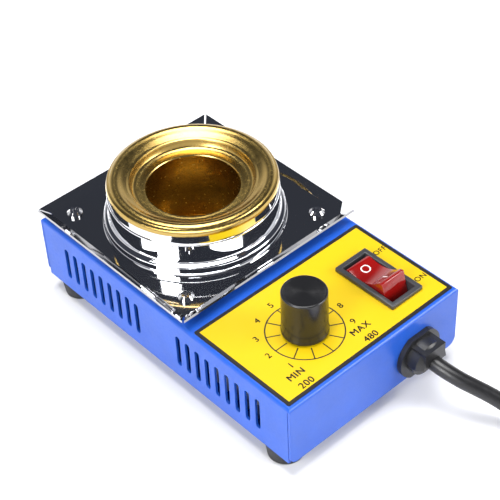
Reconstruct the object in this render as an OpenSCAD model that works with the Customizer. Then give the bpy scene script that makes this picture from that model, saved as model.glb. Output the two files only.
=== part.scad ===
// Solder pot: a folded sheet case with a control end and a heated pot end.
// +X right, +Y towards the pot end, +Z up, origin on the surface under the middle of the case.

/* [Case] */
// Width of the case across X
body_w = 85; // [80:0.5:95]
// Length of the case along Y
body_l = 140; // [126:0.5:165]
// Height of the folded case
body_h = 28; // [27:0.5:40]
// Thickness of the case sheet
sheet_t = 1; // [0.8:0.1:1.2]
// Outer radius of the bends round the top
bend_r = 1.4; // [1.3:0.1:2]
// Radius of the lower corners of the end flaps
flap_corner_r = 3.5; // [1:0.5:6]
// Width of the seam where two flaps meet
seam_w = 0.3; // [0.2:0.05:0.5]
// Depth of that seam
seam_depth = 0.5; // [0.2:0.1:0.7]
// Size of the inward tabs that the base screws hold
tab_w = 14; // [12:0.5:16]
// Thickness of the base plate
plate_t = 1; // [0.8:0.1:1.5]
// Gap between base plate and case walls
plate_gap = 0.3; // [0.1:0.1:0.6]

/* [Vents] */
// Width of one vent slot
slot_w = 2.4; // [1.5:0.1:3]
// Length of one vent slot
slot_l = 14.8; // [10:0.2:16]
// Distance from slot to slot
slot_pitch = 5.3; // [4:0.1:5.4]
// Slots in each group
slot_count = 9; // [6:1:9]
// Top of the slots below the top of the case
slot_drop = 6.9; // [5:0.1:8]
// Middle of the front group from the front of the case
front_vent_y = 37.5; // [33:0.5:38]
// Middle of the back group from the back of the case
back_vent_y = 36.3; // [33:0.5:38]

/* [Feet] */
// Height of the rubber feet
foot_h = 7.5; // [6:0.5:12]
// Radius of a foot at its top
foot_top_r = 7.5; // [7:0.1:7.5]
// Radius of a foot at its base
foot_base_r = 6.7; // [6:0.1:7]
// Foot centre from the side of the case
foot_side = 7.5; // [7.5:0.5:9]
// Foot centre from the end of the case
foot_end = 10.6; // [9:0.1:12]
// Rubber left above the screw head
foot_web = 3; // [2:0.5:4]

/* [Drip tray] */
// Width of the square tray over its flanges
tray_w = 86.8; // [84:0.2:90]
// Thickness of the tray sheet
tray_t = 0.8; // [0.6:0.1:1]
// Gap under the tray, filled by spacers
tray_gap = 2; // [1.8:0.1:3]
// How far a flange reaches out
flange_run = 3.8; // [2:0.1:5]
// How far a flange rises
flange_rise = 2.2; // [1:0.1:4]
// Open slit at each mitred corner
mitre_gap = 0.5; // [0.3:0.1:1]
// Length missing from the front end of the right flange
short_end = 5; // [2:0.5:8]
// Distance between tray screws
tray_screw_pitch = 66; // [66:0.2:68]
// Gap between the fibre sleeve and the opening round it
tray_hole_gap = 1.5; // [0.5:0.1:2.5]

/* [Collar] */
// Outer radius of the collar wall
collar_r = 33; // [32.7:0.1:33.5]
// Thickness of the collar sheet
collar_t = 0.8; // [0.6:0.1:0.9]
// Reach of the band at the foot beyond the wall
collar_flare = 2; // [1.6:0.1:3]
// Height of that band above the tray
collar_band_h = 3.8; // [3:0.1:5]
// Height of the wall shoulder above the tray
collar_shoulder_h = 13.2; // [11:0.1:13.5]
// Height of the whole collar above the tray
collar_h = 16.7; // [15:0.1:20]
// Step in from wall to neck
collar_neck_step = 0.6; // [0.4:0.1:0.7]
// Reach of the hem beyond the band
hem_reach = 0.4; // [0.2:0.1:0.6]
// Height of the hem
hem_h = 0.8; // [0.8:0.1:1.2]

/* [Pot] */
// Radius of the bore that holds the solder
bore_r = 18; // [16:0.1:18.4]
// Thickness of the cup wall
cup_wall = 2.5; // [2:0.1:2.5]
// Thickness of the cup floor
cup_floor = 3; // [2:0.1:4]
// Depth of the bore below its edge
bore_depth = 31; // [26:0.5:32]
// Reach of the rim beyond the collar's neck
rim_reach = 0.4; // [0.2:0.1:1.5]
// Rim's crest in from its edge
crest_in = 3.4; // [2.5:0.1:4]
// Crest height above the collar
crest_h = 3.5; // [3:0.1:5]
// Bore edge below the crest
dish_depth = 6; // [4:0.1:7]
// Height of the steps turned in the dish
dish_step = 0.3; // [0.2:0.1:0.5]
// Clearance of the pot inside the collar neck
spigot_gap = 0.4; // [0.2:0.1:0.6]
// Height of the part that sits inside the neck
spigot_h = 1.2; // [0.8:0.1:2]
// Length of the stud under the cup
stud_l = 7; // [6:0.5:7]

/* [Heater] */
// Thickness of the band heater
band_t = 3; // [2:0.1:3.2]
// Height of the band heater
band_h = 24; // [18:0.5:25]
// Gap between the band's clamp ears
band_split = 3; // [2:0.5:4]
// Reach of the clamp ears beyond the band
ear_reach = 5.2; // [5:0.1:5.5]
// Thickness of the fibre sleeve
sleeve_t = 6; // [3:0.1:6.2]
// Height of the fibre sleeve
sleeve_h = 26; // [20:0.5:27]
// Width of the slot in the sleeve for the ears
sleeve_slot = 20; // [18:0.5:24]
// Thickness of the ceramic washer under the cup
ceramic_t = 1.5; // [1:0.1:2]
// Thickness of the pot bracket strip
bracket_t = 1.5; // [1:0.1:1.6]
// Width of the pot bracket strip
bracket_w = 14; // [10:0.5:18]
// Gap between the sleeve and the bracket legs
bracket_gap = 2; // [1.5:0.1:2.5]

/* [Dial] */
// Dial centre from the left side of the case
dial_side = 30.2; // [29:0.1:32]
// Dial centre from the front of the case
dial_y = 23.5; // [23:0.1:25]
// Radius of the knob at its base
knob_base_r = 8.7; // [8.5:0.1:9]
// Radius of the knob at its top
knob_top_r = 8.3; // [7.5:0.1:8.4]
// Height of the knob
knob_h = 18.5; // [16:0.5:22]
// Gap under the knob
knob_gap = 0.8; // [0.5:0.1:1.5]
// Direction that the knob's set screw faces
knob_angle = 166; // [0:1:359]
// Radius of the control shaft
shaft_r = 3; // [3:0.05:3.1]
// Running clearance of the shaft in its bushing
shaft_gap = 0.05; // [0.02:0.01:0.1]
// Outer radius of the threaded bushing
bushing_r = 3.7; // [3.6:0.05:4]
// Height of the bushing above the label
bushing_h = 2.7; // [2.5:0.1:3]
// Radius of the potentiometer body
potentiometer_r = 8.3; // [7.5:0.1:8.5]
// Depth of the potentiometer body
potentiometer_d = 8.5; // [8:0.1:9]

/* [Switch] */
// Switch centre from the right side of the case
switch_side = 17.8; // [17:0.1:19]
// Switch centre from the front of the case
switch_y = 23.1; // [23:0.1:24]
// Width of the switch frame
frame_w = 15.8; // [15.4:0.1:16.4]
// Length of the switch frame
frame_l = 29.2; // [28.8:0.1:31]
// Height of the switch frame above the label
frame_h = 1.8; // [1.2:0.1:2.5]
// Width of the frame's visible edge
frame_edge = 2; // [1.9:0.1:2.1]
// Thickness of the switch's side walls
housing_t = 0.7; // [0.6:0.1:0.9]
// Depth of the housing below the panel
housing_d = 14; // [13.5:0.5:15]
// Side clearance of the rocker
rocker_gap = 0.2; // [0.1:0.05:0.3]
// Length of the rocker over its ends
rocker_l = 18.8; // [17:0.1:19.4]
// Tilt of the rocker each side of level
rocker_tilt = 14; // [10:0.5:15]
// Depth of the rocker's pivot below the panel
pivot_depth = 4; // [3.5:0.1:4.5]
// Height of the rocker's ends above its pivot
rocker_h = 8.4; // [7.5:0.1:9]
// Depth of the hollow in the rocker's face
rocker_dip = 2.2; // [1.5:0.1:2.6]
// Radius of the rocker's pivot pins
pivot_r = 1.2; // [1:0.05:1.4]
// Running clearance of those pins
pivot_gap = 0.05; // [0.02:0.01:0.1]

/* [Label] */
// Thickness of the control label
label_t = 0.3; // [0.2:0.05:0.5]
// Bare strip between the label and the drip tray
label_gap = 2.6; // [2:0.1:6]
// Bare edge between the label and the end of the case
label_margin = 1.6; // [1.5:0.1:2]

/* [Control board] */
// Width of the board
board_w = 44; // [42:0.5:45]
// Length of the board
board_l = 38; // [36:0.5:40]
// Thickness of the board
board_t = 1.6; // [1.2:0.1:1.6]
// Thickness of the heat sink's back
sink_t = 1.6; // [1.2:0.1:1.8]
// Length of the heat sink
sink_l = 30; // [26:0.5:32]
// Reach of the heat sink's fins
fin_reach = 3; // [2:0.1:5]
// Thickness of one fin
fin_t = 1; // [0.6:0.1:1.5]
// Air between the fins and the case wall
fin_gap = 1.1; // [0.5:0.1:3]
// Number of fins
fin_count = 6; // [4:1:8]

/* [Cord] */
// Diameter of the mains cord
cord_d = 6; // [6:0.1:6.2]
// Cord grip centre from the right side of the case
grip_side = 21.5; // [21:0.1:22]
// Cord grip centre below the top of the case
grip_drop = 17; // [16.8:0.1:17.2]
// Width of the grip's flange
grip_w = 20.6; // [19:0.1:21]
// Height of the grip's flange
grip_h = 18.4; // [17:0.1:18.6]
// Thickness of the grip's flange
grip_t = 2; // [1.5:0.1:2.5]
// Radius of the grip's hole in the case
grip_r = 7.4; // [7:0.1:7.8]
// Reach of the grip's long half outside the case
grip_long = 9; // [8:0.5:10]
// Depth of the grip inside the case wall
grip_in = 6; // [5:0.5:6.5]

/* [Hidden] */
$fn = 64;
eps = 0.01;

// Fasteners: radius of the shank, of its clearance hole and of the pan head.
m3_r = 1.5;
m3_hole_r = 1.7;
m3_head_r = 3;
m3_head_h = 2;
m3_nut_r = 3.1;
m3_nut_h = 2.4;
m4_r = 2;
m4_nut_r = 4;
m4_nut_h = 3.2;
low_head_h = 1.5;

// Levels and places that follow from the sizes above.
top_z = foot_h + body_h;
front_y = -body_l / 2;
back_y = body_l / 2;
inside_z = top_z - sheet_t;
plate_z = foot_h + plate_t;
foot_x = body_w / 2 - foot_side;
foot_y = body_l / 2 - foot_end;
pot_y = back_y - tray_w / 2;
tray_z = top_z + tray_gap;
tray_top = tray_z + tray_t;
floor_half = tray_w / 2 - flange_run;
screw_half = tray_screw_pitch / 2;
collar_top = tray_top + collar_h;
collar_band_r = collar_r + collar_flare;
neck_r = collar_r - collar_neck_step;
rim_r = neck_r + rim_reach;
crest_r = rim_r - crest_in;
crest_z = collar_top + crest_h;
bore_z = crest_z - dish_depth;
cup_r = bore_r + cup_wall;
cup_z = bore_z - bore_depth - cup_floor;
band_r = cup_r + band_t;
band_z = cup_z + 3;
sleeve_r = band_r + sleeve_t;
tray_hole_r = sleeve_r + tray_hole_gap;
sleeve_z = cup_z + 2;
strip_z = cup_z - ceramic_t - bracket_t;
leg_x = sleeve_r + bracket_gap;
bracket_foot = 5.8;
bracket_screw_x = leg_x + bracket_t + m3_nut_r * cos(30) + 0.2;
label_z = top_z + label_t;
label_w = body_w - 2 * bend_r;
label_y = front_y + label_margin;
label_l = pot_y - tray_w / 2 - label_gap - label_y;
dial_x = -body_w / 2 + dial_side;
knob_y = front_y + dial_y;
knob_z = label_z + knob_gap;
switch_x = body_w / 2 - switch_side;
rocker_y = front_y + switch_y;
pivot_z = top_z - pivot_depth;
housing_w = frame_w - 2 * frame_edge + 2 * housing_t;
housing_l = frame_l - 2 * frame_edge + 1;
rocker_w = housing_w - 2 * housing_t - 2 * rocker_gap;
grip_x = body_w / 2 - grip_side;
grip_z = top_z - grip_drop;
sink_x = -body_w / 2 + sheet_t + fin_gap + fin_reach;
board_x = sink_x + sink_t + board_w / 2;
board_y = knob_y + 6;
board_z = inside_z - potentiometer_d - board_t;
ear_y = pot_y - band_r - ear_reach / 2 - 0.2;
ear_z = band_z + band_h / 2;

// Lesser sizes: switch tabs, dial screw, triac, wiring and plug.
terminal_pitch = 8.5;
terminal_l = 6.5;
terminal_z = top_z - housing_d - terminal_l + 2;
knob_screw_z = 4.6;
sink_lift = 4;
sink_screw_y = -6.2;
triac_drop = 9.5;
triac_t = 1.3;
grip_short = 5;
wire_r = 0.8;
wire_y = front_y + sheet_t + grip_in + 1;
earth_x = grip_x - 14;
earth_y = knob_y + 4;
lug_t = 0.8;
lug_z = plate_z + lug_t;
lead_x = 6;
pad_x = 4;
lead_r = 0.9;
boot_l = 16;
plug_w = 24;
plug_l = 30;
plug_corner = 5;

// Cord: radius, centre of the coil, radii of its turns and the route to it.
cord_r = cord_d / 2;
cord_lift = 0.6;
coil_x = -6;
coil_y = -195;
coil_low = [28, 34, 40];
coil_high = [31, 37];
coil_rise = 5.2;
coil_lead = 24;
coil_slack = 0.05;
tail_l = 18;
tail_x = coil_x + coil_low[2];
tail_y = coil_y - tail_l;
plug_z = 9.2;
cord_route = [
    [21, -75, 18.5], [21, -78, 18.5], [21.2, -81, 18.2], [21.7, -84, 17.6],
    [22.5, -87, 16.8], [23.6, -90, 15.8], [25, -93, 14.7], [26.6, -96, 13.4],
    [28.2, -99, 12], [29.7, -102, 10.5], [30.9, -105, 9], [31.8, -108, 7.5],
    [32.5, -111, 6.2], [33, -114, 5.1], [33.4, -117, 4.3], [33.7, -120, 3.8],
    [34, -123, 3.6], [34, -135, 3.6], [34, -147, 3.6],
    [34, -159, 3.6], [34, -171, 3.6]
];

// Every combination of left or right with front or back.
corners = [[-1, -1], [1, -1], [-1, 1], [1, 1]];

// ---- shared shapes ----

function unit(v) = v / norm(v);

function heading(p, i) =
    unit(p[min(i + 1, len(p) - 1)] - p[max(i - 1, 0)]);

// A side direction carried along the route without twist.
function carried(p, i = 0, side = [0.3, 0.2, 1], out = []) =
    i == len(p) ? out :
    let (t = heading(p, i), s = unit(side - (side * t) * t))
    carried(p, i + 1, s, concat(out, [s]));

// A rounder route through the same points.
function rounded(p, steps) = [
    for (i = [0 : len(p) - 2], k = [0 : steps - 1])
        let (a = p[max(i - 1, 0)], b = p[i], c = p[i + 1],
             d = p[min(i + 2, len(p) - 1)], u = k / steps)
        b + (c - a) * u / 2 + (2 * a - 5 * b + 4 * c - d) * u * u / 2
          + (3 * b - a - 3 * c + d) * u * u * u / 2,
    p[len(p) - 1]
];

module tube(route, r, sides) {
    n = len(route);
    s = carried(route);
    ring_points = [
        for (i = [0 : n - 1], k = [0 : sides - 1])
            let (a = 360 * k / sides)
            route[i] + r * (cos(a) * s[i] + sin(a) * cross(heading(route, i), s[i]))
    ];
    walls = [
        for (i = [0 : n - 2], k = [0 : sides - 1])
            let (m = (k + 1) % sides)
            [i * sides + k, (i + 1) * sides + k, (i + 1) * sides + m, i * sides + m]
    ];
    first = [[for (k = [0 : sides - 1]) k]];
    last = [[for (k = [sides - 1 : -1 : 0]) (n - 1) * sides + k]];
    polyhedron(points = ring_points, faces = concat(first, walls, last), convexity = 6);
}

module rod(r, z0, z1) {
    translate([0, 0, z0]) cylinder(r = r, h = z1 - z0);
}

module at_corners(x, y, y_mid = 0) {
    for (c = corners) translate([c[0] * x, y_mid + c[1] * y, 0]) children();
}

module hood_profile(w, h, r) {
    translate([-w / 2, 0]) square([w, h - r]);
    translate([-w / 2 + r, 0]) square([w - 2 * r, h]);
    for (s = [-1, 1]) translate([s * (w / 2 - r), h - r]) circle(r);
}

// A block whose four top edges are rounded.
module hood(w, l, h, r) {
    intersection() {
        translate([0, l / 2, 0]) rotate([90, 0, 0])
            linear_extrude(l) hood_profile(w, h, r);
        translate([-w / 2, 0, 0]) rotate([90, 0, 90])
            linear_extrude(w) hood_profile(l, h, r);
    }
}

module rounded_plate(w, l, r, t) {
    linear_extrude(t) {
        square([w - 2 * r, l], center = true);
        square([w, l - 2 * r], center = true);
        for (c = corners) translate([c[0] * (w / 2 - r), c[1] * (l / 2 - r)]) circle(r);
    }
}

// Pan head and shank, the head's underside at z = 0 and its top above.
module pan_screw(r, head_r, head_h, shank) {
    difference() {
        union() {
            cylinder(r = head_r, h = head_h * 0.45);
            translate([0, 0, head_h * 0.45])
                cylinder(r1 = head_r, r2 = head_r * 0.62, h = head_h * 0.55, $fn = 48);
            rod(r, -shank, eps);
        }
        for (a = [45, 135]) translate([0, 0, head_h]) rotate([0, 0, a])
            cube([head_r * 1.1, head_r * 0.24, head_h * 0.9], center = true);
    }
}

module hex_nut(r, bore, h) {
    difference() {
        cylinder(r = r, h = h, $fn = 6);
        translate([0, 0, -1]) cylinder(r = bore, h = h + 2);
    }
}

module ring(outer, inner, h) {
    difference() {
        cylinder(r = outer, h = h);
        translate([0, 0, -1]) cylinder(r = inner, h = h + 2);
    }
}

// ---- case ----

module vent_slot() {
    square([slot_w, slot_l - slot_w], center = true);
    for (s = [-1, 1]) translate([0, s * (slot_l - slot_w) / 2]) circle(slot_w / 2, $fn = 24);
}

module vent_cut(y_mid) {
    for (i = [0 : slot_count - 1])
        translate([-body_w, y_mid + (i - (slot_count - 1) / 2) * slot_pitch,
                   top_z - slot_drop - slot_l / 2])
            rotate([90, 0, 90]) linear_extrude(2 * body_w) vent_slot();
}

// What the rounded lower corner of an end flap loses.
module flap_corner_cut(side, end) {
    r = flap_corner_r;
    translate([side * body_w / 2, end * (body_l / 2 - sheet_t / 2), foot_h])
        rotate([90, 0, 0]) linear_extrude(sheet_t + eps, center = true)
            difference() {
                square(2 * r, center = true);
                translate([-side * r, r]) circle(r);
            }
}

module base_tab() {
    tab_in = foot_side + tab_w / 2 - 2;
    for (c = corners)
        translate([c[0] * (body_w / 2 - tab_in / 2 - sheet_t / 2), c[1] * foot_y, plate_z])
            rounded_plate(tab_in - sheet_t, tab_w, 1, sheet_t);
}

module case_shell() {
    color([0.18, 0.36, 0.85])
    difference() {
        union() {
            difference() {
                translate([0, 0, foot_h]) hood(body_w, body_l, body_h, bend_r);
                translate([0, 0, foot_h - 1])
                    hood(body_w - 2 * sheet_t, body_l - 2 * sheet_t,
                         body_h - sheet_t + 1, bend_r - sheet_t);
            }
            base_tab();
        }
        vent_cut(front_y + front_vent_y);
        vent_cut(back_y - back_vent_y);
        for (c = corners) {
            flap_corner_cut(c[0], c[1]);
            translate([c[0] * body_w / 2, c[1] * (body_l / 2 - sheet_t), foot_h + (body_h - bend_r) / 2])
                cube([2 * seam_depth, seam_w, body_h - bend_r + eps], center = true);
        }
        at_corners(foot_x, foot_y) rod(m3_hole_r, foot_h, plate_z + 3);
        translate([0, pot_y, 0]) rod(tray_hole_r, inside_z - 1, top_z + 1);
        at_corners(screw_half, screw_half, pot_y) rod(m3_hole_r, inside_z - 1, top_z + 1);
        for (s = [-1, 1]) translate([s * bracket_screw_x, pot_y, 0])
            rod(m3_hole_r, inside_z - 1, top_z + 1);
        translate([dial_x, knob_y, 0]) rod(bushing_r, inside_z - 1, top_z + 1);
        translate([switch_x, rocker_y, top_z])
            cube([housing_w, housing_l, 4 * sheet_t], center = true);
        translate([grip_x, front_y - 1, grip_z]) rotate([-90, 0, 0])
            cylinder(r = grip_r, h = sheet_t + 2);
    }
}

module base_plate() {
    color([0.16, 0.32, 0.78])
    difference() {
        translate([0, 0, foot_h])
            rounded_plate(body_w - 2 * (sheet_t + plate_gap),
                          body_l - 2 * (sheet_t + plate_gap), 2, plate_t);
        at_corners(foot_x, foot_y) rod(m3_hole_r, foot_h - 1, plate_z + 1);
        translate([earth_x, earth_y, 0]) rod(m3_hole_r, foot_h - 1, plate_z + 1);
    }
}

module rubber_feet() {
    color([0.09, 0.09, 0.1])
    at_corners(foot_x, foot_y) rotate_extrude() difference() {
        polygon([[0, 0], [foot_base_r - 0.6, 0], [foot_base_r, 0.6],
                 [foot_top_r, foot_h - 0.6], [foot_top_r - 0.3, foot_h], [0, foot_h]]);
        translate([-1, -1]) square([m3_head_r + 1.7, foot_h - foot_web + 1]);
        translate([-1, -1]) square([m3_hole_r + 1, foot_h + 2]);
    }
}

module foot_screws() {
    color([0.75, 0.76, 0.78])
    at_corners(foot_x, foot_y) translate([0, 0, foot_h - foot_web]) mirror([0, 0, 1])
        pan_screw(m3_r, m3_head_r, m3_head_h, foot_web + plate_t + sheet_t + m3_nut_h + 1);
}

module foot_nuts() {
    color([0.75, 0.76, 0.78])
    at_corners(foot_x, foot_y) translate([0, 0, plate_z + sheet_t])
        hex_nut(m3_nut_r, m3_r, m3_nut_h);
}

module control_label() {
    color([0.98, 0.85, 0.05])
    difference() {
        translate([0, label_y + label_l / 2, top_z])
            rounded_plate(label_w, label_l, 0.8, label_t);
        translate([dial_x, knob_y, 0]) rod(bushing_r, top_z - 1, top_z + 1);
        translate([switch_x, rocker_y, top_z])
            cube([housing_w, housing_l, 2], center = true);
    }
}

// ---- drip tray and collar ----

// One upturned flange along the right side, mitred at both ends.
module tray_flange(cut_front) {
    run = flange_run;
    reach = tray_w / 2 + 1;
    intersection() {
        translate([0, reach, 0]) rotate([90, 0, 0]) linear_extrude(2 * reach)
            polygon([[floor_half - eps, tray_z], [floor_half - eps, tray_top],
                     [floor_half + run - 0.35, tray_top + flange_rise],
                     [floor_half + run, tray_top + flange_rise - tray_t * 0.85],
                     [floor_half + 0.3, tray_z]]);
        linear_extrude(3 * top_z) polygon([
            [floor_half - 1, -floor_half + mitre_gap],
            [floor_half, -floor_half + mitre_gap],
            [floor_half + run + 1, -floor_half + mitre_gap - run - 1 + 1.6 * cut_front],
            [floor_half + run + 1, floor_half - mitre_gap + run + 1],
            [floor_half, floor_half - mitre_gap],
            [floor_half - 1, floor_half - mitre_gap]
        ]);
    }
}

module drip_tray() {
    color([0.72, 0.73, 0.75])
    difference() {
        translate([0, pot_y, 0]) {
            translate([-floor_half, -floor_half, tray_z])
                cube([2 * floor_half, 2 * floor_half, tray_t]);
            for (a = [0, 90, 180, 270]) rotate([0, 0, a])
                tray_flange(a == 0 ? short_end : 0);
        }
        translate([0, pot_y, 0]) rod(tray_hole_r, tray_z - 1, tray_top + 1);
        at_corners(screw_half, screw_half, pot_y) rod(m3_hole_r, tray_z - 1, tray_top + 1);
    }
}

module tray_screws() {
    color([0.8, 0.81, 0.83])
    at_corners(screw_half, screw_half, pot_y) translate([0, 0, tray_top])
        pan_screw(m3_r, m3_head_r, m3_head_h, tray_t + tray_gap + sheet_t + m3_nut_h + 1);
}

module tray_spacers() {
    color([0.7, 0.71, 0.73])
    at_corners(screw_half, screw_half, pot_y) translate([0, 0, top_z])
        ring(m3_head_r + 0.5, m3_hole_r, tray_gap);
}

module tray_nuts() {
    color([0.75, 0.76, 0.78])
    at_corners(screw_half, screw_half, pot_y) translate([0, 0, inside_z - m3_nut_h])
        hex_nut(m3_nut_r, m3_r, m3_nut_h);
}

// Spun sheet: hem, band, flare, wall, shoulder and neck, all one thickness.
module pot_collar() {
    color([0.8, 0.82, 0.86])
    translate([0, pot_y, tray_top]) rotate_extrude($fn = 128) {
        t = collar_t;
        r = collar_r;
        b = collar_band_r;
        h = collar_band_h;
        s = collar_shoulder_h;
        polygon([
            [b - t, 0], [b + hem_reach, 0], [b + hem_reach, hem_h - 0.2],
            [b + hem_reach - 0.2, hem_h], [b, hem_h], [b, h - 0.6],
            [b - 0.2, h], [b - 1.1, h + 0.8], [r + 0.25, h + 1.7], [r, h + 2.8],
            [r, s - 0.5], [r - 0.2, s - 0.1], [neck_r, s], [neck_r, collar_h],
            [neck_r - t, collar_h], [neck_r - t, s - 0.4 * t], [r - t, s - t],
            [r - t, h + 2.5], [r - t + 0.3, h + 1.3], [b - t - 1, h + 0.2],
            [b - t, h - 0.8]
        ]);
    }
}

// ---- pot and heater ----

// Points of an arc in the half plane that is turned into the pot.
function arc(cr, cz, r, a0, a1, n) =
    [for (i = [0 : n]) let (a = a0 + (a1 - a0) * i / n) [cr + r * cos(a), cz + r * sin(a)]];

module solder_pot() {
    edge_r = rim_r - crest_r;
    seat_r = neck_r - collar_t - spigot_gap;
    mid_r = (crest_r + bore_r) / 2;
    mid_z = crest_z - dish_depth * 0.42;
    color([0.78, 0.62, 0.25])
    translate([0, pot_y, 0]) {
        rotate_extrude($fn = 128) polygon(concat(
            [[0, cup_z], [cup_r - 1, cup_z], [cup_r, cup_z + 1],
             [cup_r, bore_z - 5.2], [cup_r + 1.2, bore_z - 4],
             [seat_r - 1.2, collar_top - spigot_h], [seat_r, collar_top - spigot_h + 0.4],
             [seat_r, collar_top], [rim_r - 0.5, collar_top]],
            arc(crest_r, collar_top + 0.3, edge_r, 0, 30, 2),
            arc(crest_r, crest_z - edge_r * 0.75, edge_r * 0.75, 35, 90, 4),
            [[crest_r - 1, crest_z - 0.15],
             [crest_r - 2, crest_z - 0.65], [crest_r - 2, crest_z - 0.65 - dish_step],
             [mid_r + 1, mid_z + dish_step], [mid_r + 1, mid_z]],
            arc(bore_r + 3.2, bore_z + 2.6, 2.6, 320, 262, 5),
            [[bore_r + 0.5, bore_z], [bore_r, bore_z - 0.4],
             [bore_r, cup_z + cup_floor + 1.5]],
            arc(bore_r - 1.5, cup_z + cup_floor + 1.5, 1.5, 330, 270, 3),
            [[0, cup_z + cup_floor]]));
        rod(m4_r, cup_z - stud_l, cup_z + 1);
    }
}

module heater_band() {
    color([0.66, 0.66, 0.68])
    translate([0, pot_y, 0]) difference() {
        union() {
            translate([0, 0, band_z]) ring(band_r, cup_r, band_h);
            for (s = [-1, 1]) translate([s * (band_split + 1) / 2, -band_r - ear_reach / 2 + 0.4, ear_z])
                cube([1, ear_reach + 0.8, 10], center = true);
        }
        translate([0, -band_r, ear_z]) cube([band_split, 2 * band_r - 24, band_h + 2], center = true);
        translate([0, ear_y - pot_y, ear_z]) rotate([0, 90, 0])
            cylinder(r = m3_hole_r, h = 20, center = true);
    }
}

module band_screw() {
    color([0.72, 0.73, 0.75])
    translate([band_split / 2 + 1, ear_y, ear_z]) rotate([0, 90, 0])
        pan_screw(m3_r, m3_head_r - 0.4, m3_head_h, band_split + 2 + m3_nut_h + 0.5);
}

module band_nut() {
    color([0.72, 0.73, 0.75])
    translate([-band_split / 2 - 1, ear_y, ear_z]) rotate([0, -90, 0])
        hex_nut(m3_nut_r - 0.3, m3_r, m3_nut_h);
}

module fibre_sleeve() {
    color([0.9, 0.88, 0.82])
    translate([0, pot_y, sleeve_z]) difference() {
        ring(sleeve_r, band_r, sleeve_h);
        translate([0, -sleeve_r, sleeve_h / 2])
            cube([sleeve_slot, 2 * sleeve_t + 8, sleeve_h + 2], center = true);
    }
}

module ceramic_washer() {
    color([0.93, 0.91, 0.86])
    translate([0, pot_y, cup_z - ceramic_t]) ring(6, m4_r + 0.2, ceramic_t);
}

// A strip folded down from the case top, under the cup and up again.
module pot_bracket() {
    t = bracket_t;
    leg_h = inside_z - strip_z;
    color([0.7, 0.71, 0.74])
    translate([0, pot_y, strip_z]) difference() {
        union() {
            translate([-leg_x - t, -bracket_w / 2, 0]) cube([2 * (leg_x + t), bracket_w, t]);
            for (s = [-1, 1]) {
                translate([s * (leg_x + t / 2), 0, leg_h / 2])
                    cube([t, bracket_w, leg_h], center = true);
                translate([s * (leg_x + t / 2 + bracket_foot / 2), 0, leg_h - t / 2])
                    cube([bracket_foot + t - eps, bracket_w, t], center = true);
            }
        }
        translate([0, 0, -1]) cylinder(r = m4_r + 0.2, h = t + 2);
        for (s = [-1, 1]) translate([s * bracket_screw_x, 0, leg_h - t - 1])
            cylinder(r = m3_hole_r, h = t + 2);
    }
}

module pot_nut() {
    color([0.72, 0.73, 0.75])
    translate([0, pot_y, strip_z - m4_nut_h]) hex_nut(m4_nut_r, m4_r, m4_nut_h);
}

module bracket_screws() {
    color([0.75, 0.76, 0.78])
    for (s = [-1, 1]) translate([s * bracket_screw_x, pot_y, top_z])
        pan_screw(m3_r, m3_head_r - 0.2, low_head_h, sheet_t + bracket_t + m3_nut_h + 0.6);
}

module bracket_nuts() {
    color([0.75, 0.76, 0.78])
    for (s = [-1, 1]) translate([s * bracket_screw_x, pot_y, inside_z - bracket_t - m3_nut_h])
        rotate([0, 0, 30]) hex_nut(m3_nut_r, m3_r, m3_nut_h);
}

// ---- dial ----

module potentiometer_body() {
    color([0.55, 0.56, 0.58])
    translate([dial_x, knob_y, 0]) difference() {
        union() {
            rod(potentiometer_r, inside_z - potentiometer_d, inside_z);
            rod(bushing_r, inside_z - eps, label_z + bushing_h);
        }
        rod(shaft_r + shaft_gap, inside_z - 5, label_z + bushing_h + 1);
    }
}

module potentiometer_nut() {
    color([0.75, 0.76, 0.78])
    translate([dial_x, knob_y, label_z]) hex_nut(5.7, bushing_r, 2);
}

module potentiometer_shaft() {
    color([0.78, 0.79, 0.8])
    translate([dial_x, knob_y, 0]) rotate([0, 0, knob_angle]) difference() {
        rod(shaft_r, inside_z - 4.7, knob_z + knob_h * 0.68);
        translate([shaft_r - 0.6, -shaft_r, knob_z + 2.9]) cube([2, 2 * shaft_r, knob_h]);
    }
}

module dial_knob() {
    color([0.07, 0.07, 0.08])
    translate([dial_x, knob_y, knob_z]) rotate([0, 0, knob_angle]) difference() {
        rotate_extrude($fn = 96) polygon([
            [0, 0], [knob_base_r - 0.2, 0], [knob_base_r, 0.3], [knob_base_r, 1.2],
            [knob_base_r - 0.15, 1.5], [knob_top_r, knob_h - 0.5],
            [knob_top_r - 0.5, knob_h], [knob_top_r - 0.9, knob_h],
            [knob_top_r - 1.1, knob_h - 0.15], [0, knob_h - 0.15]
        ]);
        rod(6.6, -1, bushing_h + 0.1);
        difference() {
            rod(shaft_r, 0, knob_h * 0.7);
            translate([shaft_r - 0.6, -shaft_r, bushing_h + 0.2]) cube([2, 2 * shaft_r, knob_h]);
        }
        translate([0, 0, knob_screw_z]) rotate([0, 90, 0]) cylinder(r = m3_r, h = 20);
    }
}

module knob_set_screw() {
    color([0.3, 0.3, 0.32])
    translate([dial_x, knob_y, knob_z + knob_screw_z]) rotate([0, 0, knob_angle])
        translate([shaft_r - 0.6, 0, 0]) rotate([0, 90, 0]) difference() {
            cylinder(r = m3_r, h = 5);
            translate([0, 0, 3.6]) cylinder(r = 0.9, h = 2, $fn = 6);
        }
}

// ---- switch ----

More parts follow.
